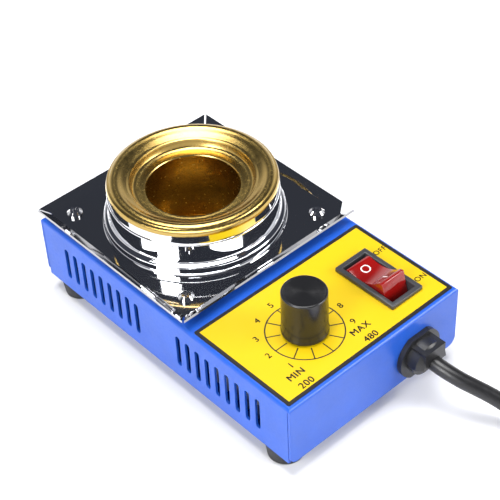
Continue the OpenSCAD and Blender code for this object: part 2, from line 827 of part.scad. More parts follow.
module switch_housing() {
    cavity_w = housing_w - 2 * housing_t;
    cavity_l = frame_l - 2 * frame_edge;
    floor_z = top_z - housing_d;
    color([0.13, 0.13, 0.14])
    translate([switch_x, rocker_y, 0]) difference() {
        union() {
            translate([-housing_w / 2, -housing_l / 2, floor_z])
                cube([housing_w, housing_l, label_z - floor_z + eps]);
            translate([0, 0, label_z]) rounded_plate(frame_w, frame_l, 0.6, frame_h - 0.6);
            translate([0, 0, label_z + frame_h - 0.6])
                rounded_plate(frame_w - 1, frame_l - 1, 0.4, 0.6);
        }
        translate([-cavity_w / 2, -cavity_l / 2, floor_z + 1.2])
            cube([cavity_w, cavity_l, housing_d + frame_h + 2]);
        translate([0, 0, pivot_z]) rotate([0, 90, 0])
            cylinder(r = pivot_r + pivot_gap, h = 2 * housing_w, center = true);
    }
}

module switch_terminals() {
    color([0.8, 0.72, 0.4])
    for (k = [-1, 0, 1])
        translate([switch_x, rocker_y + k * terminal_pitch, top_z - housing_d - terminal_l / 2])
            cube([4.8, 0.8, terminal_l], center = true);
}

// The face is hollow and both ends stand up; modelled with the back end pressed in.
module switch_rocker() {
    half = rocker_l / 2;
    land = 1.7;
    chord = half - land;
    dish_r = (chord * chord + rocker_dip * rocker_dip) / (2 * rocker_dip);
    color([0.72, 0.07, 0.07])
    translate([switch_x, rocker_y, pivot_z]) rotate([-rocker_tilt, 0, 0]) {
        difference() {
            translate([-rocker_w / 2, 0, 0]) rotate([90, 0, 90]) linear_extrude(rocker_w)
                polygon([[-half - 0.2, -3], [-half, rocker_h - 0.4], [-half + 0.4, rocker_h],
                         [half - 0.4, rocker_h], [half, rocker_h - 0.4], [half + 0.2, -3],
                         [2.5, -3], [1.2, -6], [-1.2, -6], [-2.5, -3]]);
            translate([0, 0, rocker_h - rocker_dip + dish_r]) rotate([0, 90, 0])
                cylinder(r = dish_r, h = 2 * rocker_w, center = true, $fn = 96);
        }
        rotate([0, 90, 0])
            cylinder(r = pivot_r, h = housing_w - 0.2, center = true);
    }
}

// ---- control board ----

module circuit_board() {
    color([0.1, 0.42, 0.2])
    translate([board_x, board_y, board_z]) rounded_plate(board_w, board_l, 1, board_t);
}

module heat_sink() {
    sink_h = inside_z - plate_z - 2 * sink_lift;
    color([0.8, 0.81, 0.83])
    translate([sink_x, board_y, plate_z + sink_lift]) difference() {
        union() {
            translate([0, -sink_l / 2, 0]) cube([sink_t, sink_l, sink_h]);
            for (i = [0 : fin_count - 1])
                translate([-fin_reach, -sink_l / 2 + i * (sink_l - fin_t) / (fin_count - 1), 0])
                    cube([fin_reach + eps, fin_t, sink_h]);
        }
        translate([-1, sink_screw_y, board_z - triac_drop - plate_z - sink_lift]) rotate([0, 90, 0])
            cylinder(r = m3_r, h = sink_t + 2);
    }
}

// Tab, moulded body and three legs up into the board.
module triac() {
    color([0.15, 0.15, 0.16])
    translate([sink_x + sink_t, board_y + sink_screw_y, board_z]) difference() {
        union() {
            translate([0, -5, -triac_drop - 3]) cube([triac_t, 10, 6.5]);
            translate([0, -5, -triac_drop + 3]) cube([4.4, 10, 5]);
            for (k = [-1, 0, 1]) translate([2.2, k * 2.54 - 0.35, -1.6]) cube([0.5, 0.7, 1.6]);
        }
        translate([-1, 0, -triac_drop]) rotate([0, 90, 0]) cylinder(r = m3_hole_r, h = 4);
    }
}

module triac_screw() {
    color([0.75, 0.76, 0.78])
    translate([sink_x + sink_t + triac_t, board_y + sink_screw_y, board_z - triac_drop])
        rotate([0, 90, 0]) pan_screw(m3_r, m3_head_r - 0.4, m3_head_h, triac_t + sink_t);
}

module film_capacitor() {
    color([0.85, 0.55, 0.1])
    translate([board_x + 8, board_y + 11, board_z + board_t]) rounded_plate(16, 6.5, 0.8, 7.5);
}

module choke_coil() {
    color([0.7, 0.38, 0.16])
    translate([board_x - 11, board_y + 10, board_z + board_t + 3]) rotate_extrude($fn = 48)
        translate([4.6, 0]) circle(3, $fn = 24);
}

module resistors() {
    color([0.82, 0.7, 0.5])
    for (i = [0 : 2])
        translate([board_x + 12 + 3.5 * i, board_y - 12, board_z + board_t + 1.2]) rotate([90, 0, 0])
            cylinder(r = 1.2, h = 6.5, $fn = 24);
}

// ---- cord entry and inner wiring ----

// Two halves of a nylon bushing; the upper one reaches further out.
module cord_grip() {
    color([0.08, 0.08, 0.09])
    translate([grip_x, front_y, grip_z]) rotate([90, 0, 0]) difference() {
        union() {
            intersection() {
                translate([0, 0, 0]) cylinder(r = grip_w / 2, h = grip_t);
                translate([-grip_w, -grip_h / 2, 0]) cube([2 * grip_w, grip_h, grip_t]);
            }
            rod(grip_r - 0.15, -sheet_t - grip_in, eps);
            intersection() {
                union() {
                    rod(grip_r + 0.5, 0, grip_long - 2.4);
                    translate([0, 0, grip_long - 2.4])
                        cylinder(r1 = grip_r + 0.5, r2 = grip_r - 1.6, h = 2.4);
                }
                translate([-grip_w, 0, 0]) cube([2 * grip_w, grip_h, grip_long]);
            }
            intersection() {
                rod(grip_r - 0.2, 0, grip_short);
                translate([-grip_w, -grip_h + eps, 0]) cube([2 * grip_w, grip_h, grip_short]);
            }
            translate([-grip_r + 2.2, 0.4, 0]) cube([2 * grip_r - 4.4, grip_r - 0.6, grip_long]);
        }
        rod(cord_r + 0.02, -sheet_t - grip_in - 1, grip_long + 1);
    }
}

module cord_end() {
    color([0.06, 0.06, 0.07])
    translate([grip_x, front_y + sheet_t + grip_in + 1, grip_z]) rotate([90, 0, 0])
        cylinder(r = cord_r, h = grip_in + sheet_t + 1 + grip_short);
}

module live_wire() {
    end_y = rocker_y - terminal_pitch - 0.4;
    color([0.45, 0.25, 0.12])
    tube(rounded([
        [grip_x + 1.4, wire_y, grip_z], [grip_x + 1.8, wire_y + 1.2, grip_z - 0.6],
        [switch_x - 0.8, (wire_y + end_y) / 2 + 0.6, (grip_z + terminal_z) / 2 - 0.6],
        [switch_x, end_y - 1.2, terminal_z], [switch_x, end_y, terminal_z]
    ], 3), wire_r, 6);
}

module neutral_wire() {
    color([0.15, 0.35, 0.75])
    tube(rounded([
        [grip_x - 1.4, wire_y, grip_z], [grip_x - 2.4, wire_y + 2.5, grip_z - 1],
        [grip_x - 7, wire_y + 5, grip_z - 2.5], [grip_x - 12, wire_y + 8, grip_z - 1],
        [board_x + board_w / 2 - 4, wire_y + 10, board_z - 3],
        [board_x + board_w / 2 - 5, wire_y + 10.5, board_z]
    ], 3), wire_r, 6);
}

module switched_wire() {
    start_y = rocker_y + terminal_pitch + 0.4;
    color([0.1, 0.1, 0.1])
    tube(rounded([
        [switch_x, start_y, terminal_z], [switch_x - 1, start_y + 2.5, terminal_z - 0.5],
        [switch_x - 8, start_y + 4, terminal_z - 1],
        [board_x + board_w / 2 - 1, start_y + 1, board_z - 4],
        [board_x + board_w / 2 - 3, start_y, board_z]
    ], 3), wire_r, 6);
}

module earth_wire() {
    color([0.35, 0.6, 0.15])
    tube(rounded([
        [grip_x, wire_y, grip_z - 1.8], [grip_x - 0.5, wire_y + 3, grip_z - 3],
        [grip_x - 3, wire_y + 8, lug_z + 3.4], [grip_x - 5.5, earth_y - 1.5, lug_z + 1],
        [earth_x + 4.6, earth_y, lug_z + 0.2]
    ], 3), wire_r, 6);
}

module earth_lug() {
    color([0.78, 0.78, 0.76])
    translate([earth_x, earth_y, plate_z]) difference() {
        union() {
            cylinder(r = 3, h = lug_t);
            translate([0, -1.2, 0]) cube([5, 2.4, lug_t]);
        }
        rod(m3_hole_r, -1, 2);
    }
}

module earth_screw() {
    color([0.75, 0.76, 0.78])
    translate([earth_x, earth_y, foot_h]) mirror([0, 0, 1])
        pan_screw(m3_r, m3_head_r, m3_head_h, plate_t + lug_t + m3_nut_h + 0.8);
}

module earth_nut() {
    color([0.75, 0.76, 0.78])
    translate([earth_x, earth_y, lug_z]) rotate([0, 0, 30]) hex_nut(m3_nut_r, m3_r, m3_nut_h);
}

// Two sleeved leads rise from the band and go over the board's back edge.
module heater_leads() {
    board_back = board_y + board_l / 2;
    band_front = pot_y - sqrt(band_r * band_r - lead_x * lead_x);
    top = board_z + board_t;
    color([0.86, 0.84, 0.78])
    for (s = [-1, 1])
        tube(rounded([
            [s * lead_x, band_front + 0.2, band_z + 2 * lead_r],
            [s * lead_x, band_front - 3 * lead_r, band_z + 2 * lead_r],
            [s * lead_x - 2, (band_front + board_back) / 2, top + lead_r],
            [(s - 1.5) * pad_x, board_back + lead_r, top + 4 * lead_r],
            [(s - 1.5) * pad_x, board_back - 2 * lead_r, top + 3 * lead_r],
            [(s - 1.5) * pad_x, board_back - 3 * lead_r, top]
        ], 3), lead_r, 6);
}

// ---- cord, coil and plug ----

module mains_cord() {
    color([0.05, 0.05, 0.06]) tube(cord_route, cord_r, 10);
}

// Five turns, three on the surface and two nested on them.
module cord_coil() {
    color([0.05, 0.05, 0.06])
    translate([coil_x, coil_y, cord_lift + cord_r]) {
        rotate([0, 0, 100]) rotate_extrude($fn = 72) {
            for (r = coil_low) translate([r, 0]) circle(cord_r, $fn = 24);
            for (r = coil_high) translate([r, coil_rise]) circle(cord_r, $fn = 24);
            polygon([[coil_low[0], -cord_r * 0.4], [coil_low[2], -cord_r * 0.4],
                     [coil_low[2], 0], [coil_high[1], coil_rise],
                     [coil_high[0], coil_rise], [coil_low[0], 0]]);
        }
        translate([coil_low[2], coil_lead, 0]) rotate([90, 0, 0])
            cylinder(r = cord_r - coil_slack, h = coil_lead + 1.5);
        translate([tail_x - coil_x, 3, plug_z - cord_lift - cord_r]) rotate([90, 0, 0])
            cylinder(r = cord_r - coil_slack, h = tail_l + 3);
    }
}

module cord_tie() {
    w = coil_low[2] - coil_low[0] + cord_d + 0.4;
    h = coil_rise + cord_d + 0.4;
    mid = (coil_low[0] + coil_low[2]) / 2;
    color([0.2, 0.2, 0.21])
    translate([coil_x, coil_y, 0]) rotate([0, 0, 215]) translate([mid, 3, 0]) rotate([90, 0, 0])
        linear_extrude(6) difference() {
            translate([-w / 2 - 0.5, 0]) square([w + 1, h + 1]);
            translate([-w / 2, 0.5]) square([w, h]);
        }
}

module plug_body() {
    color([0.06, 0.06, 0.07])
    translate([tail_x, tail_y, plug_z]) rotate([90, 0, 0]) {
        cylinder(r1 = 4.3, r2 = 6, h = boot_l + 1);
        for (i = [0 : 3]) translate([0, 0, 2 + 3.6 * i]) cylinder(r = 5.2 + 0.4 * i, h = 1.8);
        translate([0, 0, boot_l])
            rounded_plate(plug_w, 2 * plug_z, plug_corner, plug_l);
    }
}

module plug_pins() {
    pin_y = tail_y - boot_l - plug_l;
    color([0.8, 0.75, 0.5])
    translate([tail_x, pin_y, plug_z]) {
        for (s = [-1, 1]) translate([s * 6.35, -8, 2]) cube([1.5, 16, 6.3], center = true);
        translate([0, 0, -5.2]) rotate([90, 0, 0]) cylinder(r = 2.4, h = 18);
    }
}

case_shell();
base_plate();
rubber_feet();
foot_screws();
foot_nuts();
control_label();
drip_tray();
tray_screws();
tray_spacers();
tray_nuts();
pot_collar();
solder_pot();
heater_band();
band_screw();
band_nut();
fibre_sleeve();
ceramic_washer();
pot_bracket();
pot_nut();
bracket_screws();
bracket_nuts();
potentiometer_body();
potentiometer_nut();
potentiometer_shaft();
dial_knob();
knob_set_screw();
switch_housing();
switch_terminals();
switch_rocker();
circuit_board();
heat_sink();
triac();
triac_screw();
film_capacitor();
choke_coil();
resistors();
cord_grip();
cord_end();
live_wire();
neutral_wire();
switched_wire();
earth_wire();
heater_leads();
earth_lug();
earth_screw();
earth_nut();
mains_cord();
cord_coil();
cord_tie();
plug_body();
plug_pins();
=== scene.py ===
# %% [markdown]
# # A bench solder pot
#
# A solder pot is a small heated cup for tinning wires and dipping boards. A folded
# sheet metal case stands on four rubber feet. Its front half carries the controls and
# its back half carries the pot, inside a spun collar on a polished drip tray.
#
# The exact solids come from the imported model, which is loaded first and never moved.
# This script dresses them: it gives each its finish, and models again the pieces whose
# curves, edges and marks need more care than a plain solid has.

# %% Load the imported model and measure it
import math

import bpy
from mathutils import Matrix, Quaternion, Vector


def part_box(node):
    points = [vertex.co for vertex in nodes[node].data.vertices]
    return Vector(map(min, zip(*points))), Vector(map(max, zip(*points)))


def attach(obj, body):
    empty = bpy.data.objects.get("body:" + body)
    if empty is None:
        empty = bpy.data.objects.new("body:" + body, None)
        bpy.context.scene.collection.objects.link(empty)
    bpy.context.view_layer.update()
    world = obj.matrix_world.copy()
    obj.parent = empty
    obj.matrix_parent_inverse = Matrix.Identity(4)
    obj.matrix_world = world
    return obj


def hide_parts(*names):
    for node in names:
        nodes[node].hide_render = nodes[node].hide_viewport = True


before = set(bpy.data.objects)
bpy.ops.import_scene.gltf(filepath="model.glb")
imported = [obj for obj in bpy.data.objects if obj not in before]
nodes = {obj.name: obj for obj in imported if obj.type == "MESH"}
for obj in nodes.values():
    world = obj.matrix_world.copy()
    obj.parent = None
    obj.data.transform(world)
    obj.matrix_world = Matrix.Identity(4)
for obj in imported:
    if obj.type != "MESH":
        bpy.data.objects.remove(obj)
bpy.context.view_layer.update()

# %% [markdown]
# ## Small helpers
#
# Every operator in Blender acts on what is selected, so each new piece starts with
# nothing selected. Lengths are thought of in millimetres and handed over in metres.


# %% Helpers for selecting and for millimetres
def mm(*lengths):
    """One length, or a point, from millimetres to metres."""
    if len(lengths) == 1:
        return lengths[0] / 1000
    return Vector(length / 1000 for length in lengths)


def select_only(*pieces):
    """Nothing stays selected but these, and the last one is active."""
    if bpy.context.mode != "OBJECT":
        bpy.ops.object.mode_set(mode="OBJECT")
    bpy.ops.object.select_all(action="DESELECT")
    for piece in pieces:
        piece.select_set(True)
        bpy.context.view_layer.objects.active = piece


def apply_modifier(piece, kind, **settings):
    """Adds a modifier with these settings and makes its result permanent."""
    select_only(piece)
    modifier = piece.modifiers.new(kind.title(), kind)
    for setting, value in settings.items():
        setattr(modifier, setting, value)
    bpy.ops.object.modifier_apply(modifier=modifier.name)


def middle(node):
    """The middle of a solid's box."""
    low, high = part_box(node)
    return (low + high) / 2


case_low, case_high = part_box("case_shell")
print("case:", [round(1000 * v, 2) for v in (*case_low, *case_high)])

# %% [markdown]
# ## The camera
#
# The camera stands in front of the control end, to its left, and looks down at the pot
# from about 42 degrees. A long lens from over half a metre keeps the case's edges almost
# parallel, as in a catalogue picture. The small roll leans the picture by three degrees.

# %% Place the camera
eye = mm(-263.38, -312.52, 405.43)
ahead = Vector((0.4823, 0.5640, -0.6703))
camera_data = bpy.data.cameras.new("camera")
camera_data.sensor_width = 36
camera_data.lens = 105.65
camera_data.clip_start, camera_data.clip_end = 0.01, 20
camera = bpy.data.objects.new("camera", camera_data)
bpy.context.scene.collection.objects.link(camera)
camera.rotation_mode = "QUATERNION"
level_view = ahead.to_track_quat("-Z", "Y")
camera.rotation_quaternion = level_view @ Quaternion((0, 0, 1), math.radians(-3.017))
camera.location = eye
bpy.context.scene.camera = camera
print("camera stands", round(eye.length, 3), "m from the origin")

# %% [markdown]
# ## The mains cord
#
# The cord leaves its grip straight, sinks to the bench and runs forwards. Its spare
# length is wound into a coil of five turns, three on the bench and two nested in the
# grooves between them, as anyone would put it away. A cord could be an extruded circle,
# but one curve with a round bevel is best: its length is then the length of the curve.


# %% Lay out the cord's path
cord_radius = mm(3)
route = [
    (21, -75, 18.5), (21, -78, 18.5), (21.2, -81, 18.2), (21.7, -84, 17.6),
    (22.5, -87, 16.8), (23.6, -90, 15.8), (25, -93, 14.7), (26.6, -96, 13.4),
    (28.2, -99, 12), (29.7, -102, 10.5), (30.9, -105, 9), (31.8, -108, 7.5),
    (32.5, -111, 6.2), (33, -114, 5.1), (33.4, -117, 4.3), (33.7, -120, 3.8),
    (34, -123, 3.6), (34, -135, 3.6), (34, -147, 3.6), (34, -159, 3.6),
    (34, -171, 3.6),
]
coil_middle = mm(-6, -195, 3.6)
# Angle in degrees, radius and height in mm, turn after turn. The cord steps inwards
# below, climbs, and then steps outwards over the turns that lie on the bench.
coil_stations = [
    (180, 40, 0), (480, 40, 0), (540, 34, 0), (840, 34, 0), (900, 28, 0),
    (1130, 28, 0), (1200, 28, 6.2), (1260, 28, 6.2), (1300, 30.6, 6.2), (1330, 31, 5.2),
    (1440, 31, 5.2), (1470, 31, 6.2), (1530, 33.9, 6.2), (1560, 34, 6.2),
    (1620, 34, 6.2), (1660, 36.6, 6.2), (1690, 37, 5.2), (1800, 37, 5.2),
    (1830, 37, 6.2), (1890, 39.9, 6.2), (1920, 40, 6.2), (1980, 40, 6.2),
]


def coil_point(angle):
    """A point of the coil, with soft steps between the stations."""
    for (a0, r0, z0), (a1, r1, z1) in zip(coil_stations, coil_stations[1:]):
        if angle <= a1:
            break
    share = (angle - a0) / (a1 - a0)
    soft = share * share * (3 - 2 * share)
    radius, height = r0 + (r1 - r0) * soft, z0 + (z1 - z0) * soft
    turn = math.radians(angle)
    return coil_middle + mm(-radius * math.cos(turn), radius * math.sin(turn), height)


cord_path = [mm(*point) for point in route]
cord_path += [mm(34, y, 3.6) for y in (-176, -181, -186, -191)]
cord_path += [coil_point(angle) for angle in range(180, 1981, 8)]
cord_path += [mm(34, y, z) for y, z in ((-199, 9.75), (-204, 9.6), (-209, 9.3), (-213, 9.2))]
print("points on the cord:", len(cord_path))


# %% Smooth the path and make the cord
def smooth_path(points, parts):
    """More points on a smooth curve through the given ones."""
    smooth = []
    for i in range(len(points) - 1):
        p0, p1 = points[max(i - 1, 0)], points[i]
        p2, p3 = points[i + 1], points[min(i + 2, len(points) - 1)]
        for part in range(parts):
            u = part / parts
            smooth.append(
                p1 + (p2 - p0) * (u / 2)
                + (2 * p0 - 5 * p1 + 4 * p2 - p3) * (u * u / 2)
                + (3 * p1 - p0 - 3 * p2 + p3) * (u**3 / 2)
            )
    return smooth + [points[-1]]


def cord_curve(name, points, radius):
    """A round cord along the points, as one curve."""
    data = bpy.data.curves.new(name, "CURVE")
    data.dimensions = "3D"
    data.bevel_depth = 1  # times each knot's radius, so that the curve's box stays tight
    data.bevel_resolution = 6
    data.use_fill_caps = True
    spline = data.splines.new("POLY")
    spline.points.add(len(points) - 1)
    for knot, point in zip(spline.points, points):
        knot.co = (*point, 1)
        knot.radius = radius
    spline.use_smooth = True
    piece = bpy.data.objects.new(name, data)
    bpy.context.scene.collection.objects.link(piece)
    return piece


cord_line = smooth_path(cord_path, 3)
cord = cord_curve("cord", cord_line, cord_radius)

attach(cord, "base")
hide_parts("mains_cord", "cord_coil")

# %% [markdown]
# ## Finishes
#
# Each finish is one shader with its own numbers, and a little noise that changes its
# colour, its gloss and its surface. The noise reads Object coordinates, so it is tied to
# the piece at its real scale: a noise scale of 1000 gives grains of about a millimetre.


# %% Helpers for finishes
def surface(name, colour, metal=0.0, rough=0.5, **more):
    """A new material whose shader has these plain values."""
    material = bpy.data.materials.new(name)
    material.use_nodes = True
    shader = material.node_tree.nodes["Principled BSDF"]
    shader.inputs["Base Color"].default_value = (*colour, 1)
    shader.inputs["Metallic"].default_value = metal
    shader.inputs["Roughness"].default_value = rough
    for socket, value in more.items():
        shader.inputs[socket.replace("_", " ")].default_value = value
    return material


def node(material, kind, settings=(), **values):
    """A new node in the material, with its settings and socket values."""
    made = material.node_tree.nodes.new("ShaderNode" + kind)
    for setting, value in dict(settings).items():
        setattr(made, setting, value)
    for socket, value in values.items():
        made.inputs[socket.replace("_", " ")].default_value = value
    return made


def link(material, start, end):
    """Joins an output to an input."""
    material.node_tree.links.new(start, end)


def noise(material, scale, detail=3.0, stretch=(1, 1, 1)):
    """Noise at the piece's real scale, stretched along an axis for brushed grain."""
    place = node(material, "TexCoord")
    turned = node(material, "Mapping", Scale=stretch)
    grain = node(material, "TexNoise", Scale=scale, Detail=detail)
    link(material, place.outputs["Object"], turned.inputs["Vector"])
    link(material, turned.outputs["Vector"], grain.inputs["Vector"])
    return grain.outputs["Fac"]


def shift_colour(material, pattern, low, high):
    """Runs the colour from low to high with the pattern."""
    ramp = node(material, "ValToRGB")
    ramp.color_ramp.elements[0].position = 0.35
    ramp.color_ramp.elements[1].position = 0.65
    ramp.color_ramp.elements[0].color = (*low, 1)
    ramp.color_ramp.elements[1].color = (*high, 1)
    link(material, pattern, ramp.inputs["Fac"])
    link(material, ramp.outputs["Color"], shader_of(material).inputs["Base Color"])
    return ramp


def shader_of(material):
    """The one shader of a finish."""
    return material.node_tree.nodes["Principled BSDF"]


def shift_gloss(material, pattern, low, high):
    """Runs the roughness from low to high with the pattern."""
    span = node(material, "MapRange", To_Min=low, To_Max=high, From_Min=0.3, From_Max=0.7)
    link(material, pattern, span.inputs["Value"])
    link(material, span.outputs["Result"], shader_of(material).inputs["Roughness"])


def raise_grain(material, pattern, depth, strength=1.0):
    """Makes the pattern a relief of this depth in metres."""
    bump = node(material, "Bump", Distance=depth, Strength=strength)
    shader = shader_of(material)
    before = shader.inputs["Normal"].links
    if before:
        link(material, before[0].from_socket, bump.inputs["Normal"])
    link(material, pattern, bump.inputs["Height"])
    link(material, bump.outputs["Normal"], shader.inputs["Normal"])


def finish_of(name, colour, spread, metal, rough, grain, depth, stretch=(1, 1, 1), **more):
    """A finish with all three: colour, gloss and relief, each by its own noise."""
    material = surface(name, colour, metal, rough, **more)
    pattern = noise(material, grain, 4.0, stretch)
    broad = noise(material, grain / 12, 2.0)
    low = tuple(c * (1 - spread) for c in colour)
    high = tuple(min(1, c * (1 + spread)) for c in colour)
    shift_colour(material, broad, low, high)
    shift_gloss(material, pattern, max(0.02, rough * 0.85), rough * 1.15)
    raise_grain(material, pattern, depth)
    return material


def dress(name, material):
    """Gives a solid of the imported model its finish."""
    slots = nodes[name].data.materials
    slots.clear()
    slots.append(material)


def add_piece(piece, body, slot, material, *solids):
    """Ties a new piece to its body, gives it its finish and hides the solids it stands for. The
    slot is not used.
    """
    piece.data.materials.clear()
    piece.data.materials.append(material)
    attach(piece, body)
    if solids:
        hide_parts(*solids)
    if piece.type == "MESH":
        print(piece.name, len(piece.data.polygons), "faces")


# %% [markdown]
# ### Paint, film, metal and rubber
#
# The case is sprayed with a smooth satin blue. Paint is a coloured layer with a clear
# gloss of its own, so its shader is not metallic and has a faint orange-peel relief.
# Zinc, chrome and polished steel are metallic: their colour tints what they reflect.

# %% The finishes
blue_paint = finish_of("blue_paint", (0.012, 0.090, 0.50), 0.05, 0.0, 0.33, 900, mm(0.004))
plate_paint = finish_of("plate_paint", (0.011, 0.080, 0.46), 0.05, 0.0, 0.42, 900, mm(0.004))
polished_steel = finish_of(
    "polished_steel", (0.60, 0.60, 0.61), 0.03, 1.0, 0.06, 260, mm(0.002))
chrome = finish_of("chrome", (0.80, 0.81, 0.84), 0.01, 1.0, 0.035, 200, mm(0.001))
zinc = finish_of("zinc", (0.66, 0.67, 0.69), 0.08, 1.0, 0.22, 1500, mm(0.003))
bright_screw = finish_of("bright_screw", (0.78, 0.78, 0.80), 0.03, 1.0, 0.10, 900, mm(0.002))
bare_steel = finish_of("bare_steel", (0.52, 0.53, 0.55), 0.10, 1.0, 0.32, 1200, mm(0.004))
rubber = finish_of("rubber", (0.018, 0.018, 0.019), 0.15, 0.0, 0.62, 1400, mm(0.012))
nylon = finish_of("nylon", (0.012, 0.012, 0.013), 0.15, 0.0, 0.36, 1600, mm(0.008))
cord_sheath = finish_of("cord_sheath", (0.010, 0.010, 0.011), 0.12, 0.0, 0.34, 700, mm(0.006))
knob_black = finish_of("knob_black", (0.010, 0.010, 0.011), 0.10, 0.0, 0.12, 900, mm(0.002))
switch_black = finish_of(
    "switch_black", (0.040, 0.041, 0.045), 0.10, 0.0, 0.34, 1800, mm(0.006))
brass = finish_of("brass", (0.75, 0.56, 0.25), 0.06, 1.0, 0.24, 1200, mm(0.003))
aluminium = finish_of(
    "aluminium", (0.74, 0.75, 0.77), 0.05, 1.0, 0.30, 300, mm(0.003), (1, 1, 8))
fibre = finish_of("fibre", (0.76, 0.73, 0.64), 0.12, 0.0, 0.80, 900, mm(0.08))
ceramic = finish_of("ceramic", (0.82, 0.79, 0.72), 0.04, 0.0, 0.45, 900, mm(0.01))
board_green = finish_of("board_green", (0.030, 0.19, 0.065), 0.15, 0.0, 0.34, 700, mm(0.008))
moulded_black = finish_of(
    "moulded_black", (0.035, 0.035, 0.038), 0.15, 0.0, 0.50, 1800, mm(0.01))
dipped_orange = finish_of("dipped_orange", (0.72, 0.30, 0.03), 0.08, 0.0, 0.25, 500, mm(0.01))
copper = finish_of("copper", (0.74, 0.31, 0.13), 0.12, 1.0, 0.30, 2600, mm(0.10), (1, 1, 0.3))
lacquer = finish_of("lacquer", (0.66, 0.50, 0.30), 0.12, 0.0, 0.45, 900, mm(0.01))
sleeve_brown = finish_of("sleeve_brown", (0.20, 0.075, 0.025), 0.08, 0.0, 0.38, 900, mm(0.004))
sleeve_blue = finish_of("sleeve_blue", (0.04, 0.12, 0.50), 0.08, 0.0, 0.38, 900, mm(0.004))
sleeve_black = finish_of("sleeve_black", (0.02, 0.02, 0.02), 0.08, 0.0, 0.38, 900, mm(0.004))
sleeve_green = finish_of("sleeve_green", (0.12, 0.36, 0.04), 0.30, 0.0, 0.38, 300, mm(0.004))
ink = finish_of("ink", (0.012, 0.011, 0.010), 0.10, 0.0, 0.42, 1500, mm(0.001))
white_ink = finish_of("white_ink", (0.90, 0.88, 0.86), 0.02, 0.0, 0.45, 1500, mm(0.001))
print("finishes:", len(bpy.data.materials))

# %% [markdown]
# ### Dress the plain solids
#
# Most of the inner pieces have the right shape already. They only need their finish.

# %% Give the solids their finishes
plain_finishes = {
    "case_shell": blue_paint, "base_plate": plate_paint, "rubber_feet": rubber,
    "foot_screws": zinc, "foot_nuts": zinc, "tray_spacers": zinc, "tray_nuts": zinc,
    "heater_band": bare_steel, "band_screw": zinc, "band_nut": zinc,
    "fibre_sleeve": fibre, "ceramic_washer": ceramic, "pot_bracket": bare_steel,
    "pot_nut": zinc, "bracket_screws": zinc, "bracket_nuts": zinc,
    "potentiometer_body": bare_steel, "potentiometer_nut": zinc,
    "potentiometer_shaft": aluminium, "knob_set_screw": bare_steel,
    "switch_terminals": brass, "circuit_board": board_green, "heat_sink": aluminium,
    "triac": moulded_black, "triac_screw": zinc, "film_capacitor": dipped_orange,
    "choke_coil": copper, "resistors": lacquer, "cord_end": cord_sheath,
    "live_wire": sleeve_brown, "neutral_wire": sleeve_blue,
    "switched_wire": sleeve_black, "earth_wire": sleeve_green, "heater_leads": fibre,
    "earth_lug": brass, "earth_screw": zinc, "earth_nut": zinc, "cord_tie": nylon,
    "plug_body": nylon, "plug_pins": brass, "tray_screws": bright_screw,
    "drip_tray": polished_steel, "pot_collar": chrome, "solder_pot": brass,
    "dial_knob": knob_black, "switch_housing": switch_black, "switch_rocker": rubber,
    "cord_grip": nylon, "control_label": rubber, "mains_cord": cord_sheath,
    "cord_coil": cord_sheath,
}
for name, material in plain_finishes.items():
    dress(name, material)
cord.data.materials.append(cord_sheath)
print("undressed:", sorted(set(nodes) - set(plain_finishes)))

# %% [markdown]
# ## The control label
#
# The label is a printed film: yellow, with a black line all round. The line is part of
# the print, so it is made in the finish. The distance from the label's middle, less
# half its width, tells how close a point is to the edge.

# %% Yellow film with a black border
label_low, label_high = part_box("control_label")
label_middle = (label_low + label_high) / 2
border = mm(1.5)
film = surface("label_film", (0.93, 0.66, 0.0), 0.0, 0.38)
place = node(film, "TexCoord")
centred = node(film, "VectorMath", {"operation": "SUBTRACT"})
centred.inputs[1].default_value = (*label_middle.xy, 0)
size = node(film, "VectorMath", {"operation": "ABSOLUTE"})
split = node(film, "SeparateXYZ")
link(film, place.outputs["Object"], centred.inputs[0])
link(film, centred.outputs["Vector"], size.inputs[0])
link(film, size.outputs["Vector"], split.inputs[0])
over_x = node(film, "Math", {"operation": "GREATER_THAN"})
over_x.inputs[1].default_value = (label_high.x - label_low.x) / 2 - border
over_y = node(film, "Math", {"operation": "GREATER_THAN"})
over_y.inputs[1].default_value = (label_high.y - label_low.y) / 2 - border
on_border = node(film, "Math", {"operation": "MAXIMUM"})
link(film, split.outputs["X"], over_x.inputs[0])
link(film, split.outputs["Y"], over_y.inputs[0])
link(film, over_x.outputs[0], on_border.inputs[0])
link(film, over_y.outputs[0], on_border.inputs[1])
yellow = node(film, "ValToRGB")
yellow.color_ramp.elements[0].color = (0.66, 0.44, 0.0, 1)
yellow.color_ramp.elements[1].color = (0.70, 0.48, 0.0, 1)
link(film, noise(film, 90, 2.0), yellow.inputs["Fac"])
paint = node(film, "MixRGB", Color2=(0.012, 0.011, 0.010, 1))
link(film, on_border.outputs[0], paint.inputs["Fac"])
link(film, yellow.outputs["Color"], paint.inputs["Color1"])
link(film, paint.outputs["Color"], shader_of(film).inputs["Base Color"])
fine = noise(film, 2200, 2.0)
shift_gloss(film, fine, 0.34, 0.42)
raise_grain(film, fine, mm(0.003))
dress("control_label", film)
print("border of", round(1000 * border, 2), "mm")

# %% [markdown]
# ### The printed dial and words
#
# Text objects give clean letters. Each is turned into a mesh, and all of them are joined
# into one thin piece of ink that lies on the film. Twelve strokes run from the knob to a
# ring, thirty degrees apart, and the numbers stand outside the ring where strokes end.

# %% Letters and numbers
dial_middle = middle("dial_knob")
switch_middle = middle("switch_housing")
print_z = label_high.z + mm(0.012)
ink_parts = []


